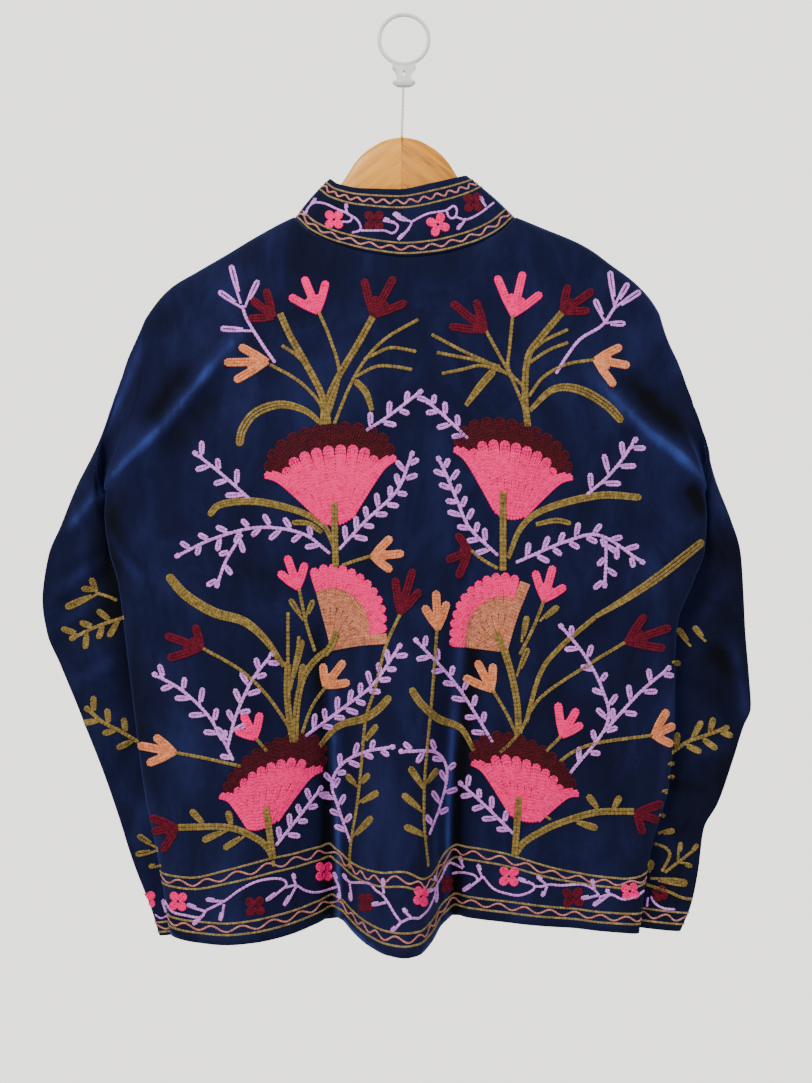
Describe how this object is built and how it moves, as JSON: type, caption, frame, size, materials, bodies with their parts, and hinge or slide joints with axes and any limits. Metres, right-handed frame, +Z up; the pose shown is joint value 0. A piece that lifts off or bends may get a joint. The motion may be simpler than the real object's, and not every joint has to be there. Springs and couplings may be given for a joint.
{
  "type": "embroidered velvet jacket on a wooden hanger",
  "caption": "Short navy velvet jacket with a stand collar and flower embroidery in wool, hung on a wooden hanger with its back to the viewer.",
  "frame": {"origin": "the inside top of the ring, where the wall hook carries it", "axes": "+Z up, -Y out of the jacket's back towards someone who looks at it, +X to that viewer's right, the wearer's right"},
  "size_m": [0.6446, 0.0996, 0.8337],
  "materials": {
    "cloth_navy_velvet": "napped velvet",
    "wood_hanger": "satin varnish",
    "cord_white": "twisted cord",
    "ring_white": "gloss"
  },
  "bodies": {
    "root": {"back_panel": "cloth_navy_velvet", "front_left": "cloth_navy_velvet", "front_right": "cloth_navy_velvet", "sleeve_left_upper": "cloth_navy_velvet", "sleeve_left_under": "cloth_navy_velvet", "sleeve_right_upper": "cloth_navy_velvet", "sleeve_right_under": "cloth_navy_velvet", "collar": "cloth_navy_velvet", "hanger_left": "wood_hanger", "hanger_right": "wood_hanger", "cord": "cord_white", "ring": "ring_white", "clip_neck": "ring_white", "clip_foot": "ring_white"}
  },
  "joints": []
}
